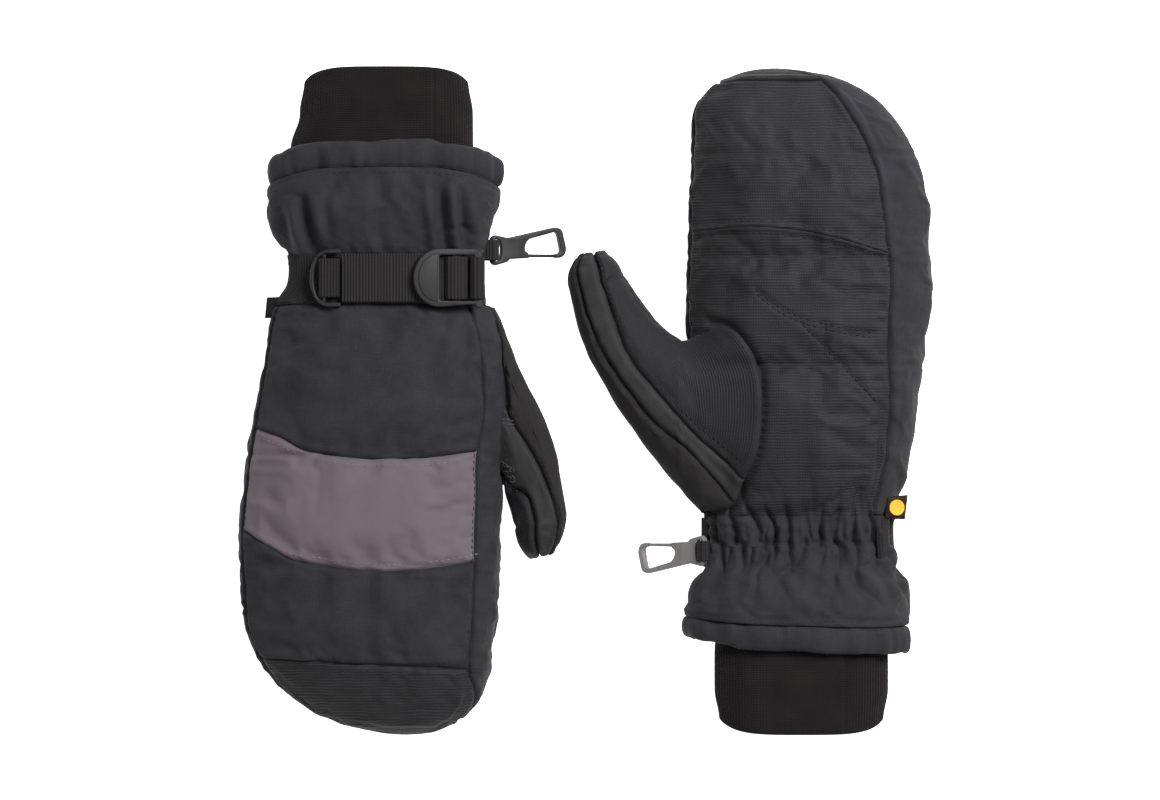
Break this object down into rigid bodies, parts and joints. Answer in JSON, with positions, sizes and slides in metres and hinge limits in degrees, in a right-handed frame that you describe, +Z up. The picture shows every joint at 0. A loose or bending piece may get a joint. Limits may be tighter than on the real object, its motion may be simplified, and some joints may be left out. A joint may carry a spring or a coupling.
{
  "type": "insulated work mittens",
  "caption": "Pair of insulated winter work mittens with knit cuffs, cinched wrists with ladder-lock buckles, pull rings and hanging snap clips.",
  "frame": {"origin": "middle of the bounding box in X and Y, on the table that the mittens lie on", "axes": "+Z up from the table, +Y towards the left mitten's fingertips and the right mitten's cuff, +X from the right-hand mitten to the left-hand mitten"},
  "size_m": [0.3428, 0.3334, 0.0498],
  "materials": {
    "shell": "matte charcoal polyester plain weave",
    "palm": "synthetic leather with a fine embossed grid",
    "patch": "purple-grey brushed fabric",
    "knit": "near-black rib knit",
    "thumb_back": "brown-black brushed fabric",
    "thumb_side": "smooth charcoal fabric",
    "filling": "fibre batting",
    "lining": "brushed fleece",
    "elastic": "covered elastic band",
    "webbing": "woven polypropylene webbing",
    "plastic": "satin moulded acetal",
    "clip_right": "satin black moulded plastic",
    "clip_left": "satin grey moulded plastic",
    "label": "woven label, dark brown with a yellow field"
  },
  "bodies": {
    "right_mitten": {"right_knit_cuff": "knit", "right_gauntlet": "shell", "right_gauntlet_hem": "shell", "right_wrist_elastic": "elastic", "right_back_panel": "shell", "right_knuckle_patch": "patch", "right_finger_back_panel": "shell", "right_fingertip_cap": "palm", "right_index_side_gusset": "shell", "right_pinky_side_gusset": "shell", "right_palm_panel": "palm", "right_palm_finger_panel": "palm", "right_insulation": "filling", "right_lining": "lining", "right_side_label": "label", "right_strap_base": "webbing", "right_buckle_anchor": "webbing", "right_clip_loop": "webbing"},
    "right_thumb": {"right_thumb_pad_panel": "palm", "right_thumb_palm_gusset": "thumb_side", "right_thumb_back_panel": "thumb_back", "right_thumb_back_gusset": "thumb_side", "right_thumb_lining": "lining"},
    "right_strap_end": {"right_strap_tail": "webbing"},
    "right_pull_ring": {"right_pull_ring": "plastic", "right_pull_fold": "webbing"},
    "right_buckle": {"right_buckle": "plastic", "right_threaded_web": "webbing"},
    "right_clip": {"right_clip_hook": "clip_right"},
    "right_clip_gate": {"right_clip_gate": "clip_right"},
    "left_mitten": {"left_knit_cuff": "knit", "left_gauntlet": "shell", "left_gauntlet_hem": "shell", "left_wrist_elastic": "elastic", "left_back_panel": "shell", "left_knuckle_patch": "patch", "left_finger_back_panel": "shell", "left_fingertip_cap": "palm", "left_index_side_gusset": "shell", "left_pinky_side_gusset": "shell", "left_palm_panel": "palm", "left_palm_finger_panel": "palm", "left_insulation": "filling", "left_lining": "lining", "left_side_label": "label", "left_strap_base": "webbing", "left_buckle_anchor": "webbing", "left_clip_loop": "webbing"},
    "left_thumb": {"left_thumb_pad_panel": "palm", "left_thumb_palm_gusset": "thumb_side", "left_thumb_back_panel": "thumb_back", "left_thumb_back_gusset": "thumb_side", "left_thumb_lining": "lining"},
    "left_strap_end": {"left_strap_tail": "webbing"},
    "left_pull_ring": {"left_pull_ring": "plastic", "left_pull_fold": "webbing"},
    "left_buckle": {"left_buckle": "plastic", "left_threaded_web": "webbing"},
    "left_clip": {"left_clip_hook": "clip_left"},
    "left_clip_gate": {"left_clip_gate": "clip_left"}
  },
  "joints": [
    {"name": "right_thumb_spread", "type": "hinge", "parent": "right_mitten", "child": "right_thumb", "pos_m": [-0.0445, 0.04725, 0.02115], "axis": [0, 0, 1], "range_deg": [0, 15]},
    {"name": "right_strap_pull", "type": "hinge", "parent": "right_mitten", "child": "right_strap_end", "pos_m": [-0.09963, 0.06125, -0.10575], "axis": [0, -1, 0], "range_deg": [0, 7.5]},
    {"name": "right_ring_lift", "type": "hinge", "parent": "right_strap_end", "child": "right_pull_ring", "pos_m": [-0.12113, 0.06125, 0.04462], "axis": [0, 1, 0], "range_deg": [0, 60]},
    {"name": "right_buckle_lift", "type": "hinge", "parent": "right_mitten", "child": "right_buckle", "pos_m": [-0.05333, 0.06125, 0.04161], "axis": [0, 1, 0], "range_deg": [0, 35]},
    {"name": "right_clip_swing", "type": "hinge", "parent": "right_mitten", "child": "right_clip", "pos_m": [-0.0466, 0.07575, 0.02415], "axis": [0, -1, 0], "range_deg": [-3, 110]},
    {"name": "right_gate_flex", "type": "hinge", "parent": "right_clip", "child": "right_clip_gate", "pos_m": [-0.02789, 0.07335, 0.01335], "axis": [0.5, 0, 0.866], "range_deg": [0, 14], "stiffness_Nm_per_rad": 0.02},
    {"name": "left_thumb_spread", "type": "hinge", "parent": "left_mitten", "child": "left_thumb", "pos_m": [0.057, -0.05545, 0.02842], "axis": [0, 0, 1], "range_deg": [0, 12]},
    {"name": "left_strap_pull", "type": "hinge", "parent": "left_mitten", "child": "left_strap_end", "pos_m": [0.10891, -0.06945, 0.15532], "axis": [0, -1, 0], "range_deg": [0, 7.5]},
    {"name": "left_ring_lift", "type": "hinge", "parent": "left_strap_end", "child": "left_pull_ring", "pos_m": [0.13042, -0.06945, 0.00495], "axis": [0, 1, 0], "range_deg": [0, 60]},
    {"name": "left_buckle_lift", "type": "hinge", "parent": "left_mitten", "child": "left_buckle", "pos_m": [0.06262, -0.06945, 0.00796], "axis": [0, 1, 0], "range_deg": [0, 35]},
    {"name": "left_clip_swing", "type": "hinge", "parent": "left_mitten", "child": "left_clip", "pos_m": [0.0595, -0.07475, 0.03142], "axis": [0, 1, 0], "range_deg": [-3, 110]},
    {"name": "left_gate_flex", "type": "hinge", "parent": "left_clip", "child": "left_clip_gate", "pos_m": [0.0432, -0.07235, 0.01725], "axis": [-0.6561, 0, 0.7547], "range_deg": [0, 14], "stiffness_Nm_per_rad": 0.02},
    {"name": "left_mitten_lift_off", "type": "slide", "parent": "right_mitten", "child": "left_mitten", "axis": [0, 0, 1], "range_m": [0, 0.1]}
  ]
}
